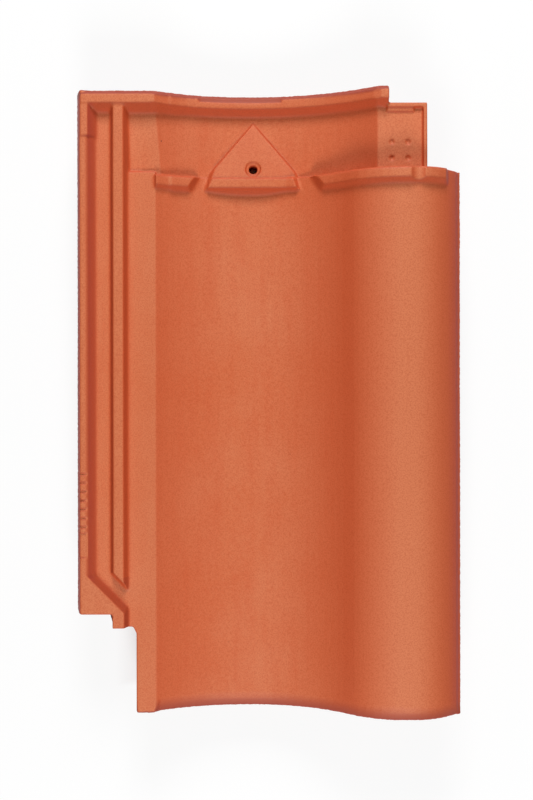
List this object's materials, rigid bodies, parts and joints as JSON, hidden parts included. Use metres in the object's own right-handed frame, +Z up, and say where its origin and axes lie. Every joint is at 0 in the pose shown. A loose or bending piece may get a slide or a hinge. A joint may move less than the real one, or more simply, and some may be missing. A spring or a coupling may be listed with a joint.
{
  "type": "interlocking clay roof tile",
  "caption": "S-shaped fired-clay interlocking roof tile: hollow trough, roll, side lock with groove, head rim, inner rib with drain gaps, nail hole and hanging nib.",
  "frame": {"origin": "on the floor under the middle of the tile's length and width", "axes": "+Y along the tile from its foot to its head, +X from the side lock to the edge of the roll, +Z up out of the weather side"},
  "size_m": [0.262, 0.425, 0.0721],
  "materials": {
    "fired_clay": "matt unglazed terracotta with a fine sandy grain"
  },
  "bodies": {
    "root": {"roof_tile": "fired_clay"}
  },
  "joints": []
}
